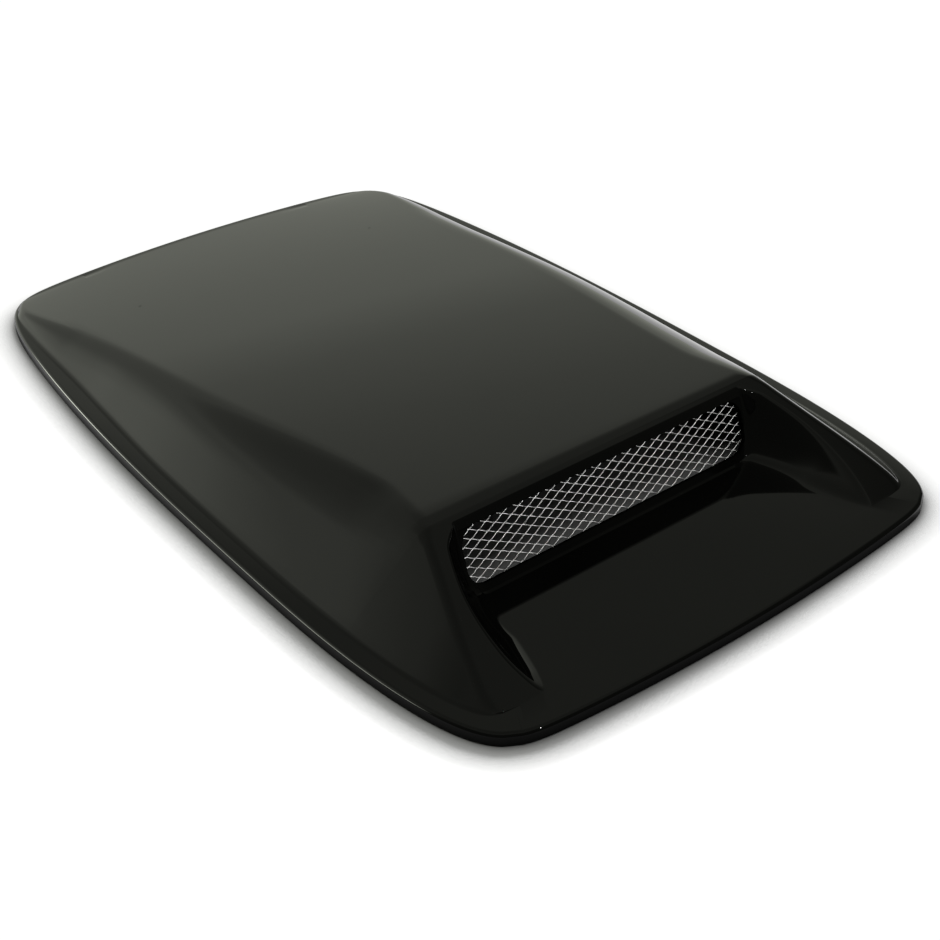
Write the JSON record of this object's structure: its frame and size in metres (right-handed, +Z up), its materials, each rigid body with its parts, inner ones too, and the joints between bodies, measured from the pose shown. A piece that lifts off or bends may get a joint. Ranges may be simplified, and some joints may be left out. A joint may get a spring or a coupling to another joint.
{
  "type": "bonnet scoop",
  "caption": "Low wedge-shaped bonnet scoop in gloss black, with a flanged rim, a recessed mouth between two tapering horns and an expanded metal mesh across its back wall.",
  "frame": {"origin": "on the bonnet surface, under the middle of the scoop's length and width", "axes": "+Z up, X across the car, Y along it with the mouth facing -Y"},
  "size_m": [0.45, 0.69, 0.0618],
  "materials": {
    "gloss_black": "high gloss black",
    "mesh_metal": "bright expanded sheet",
    "steel": "zinc plated",
    "brass": "turned",
    "foam": "closed-cell foam"
  },
  "bodies": {
    "root": {"scoop_shell": "gloss_black", "mesh_grille": "mesh_metal", "mesh_washers": "steel", "mesh_screws": "steel", "brass_inserts": "brass", "tape_front": "foam", "tape_rear": "foam", "tape_left": "foam", "tape_right": "foam"}
  },
  "joints": []
}
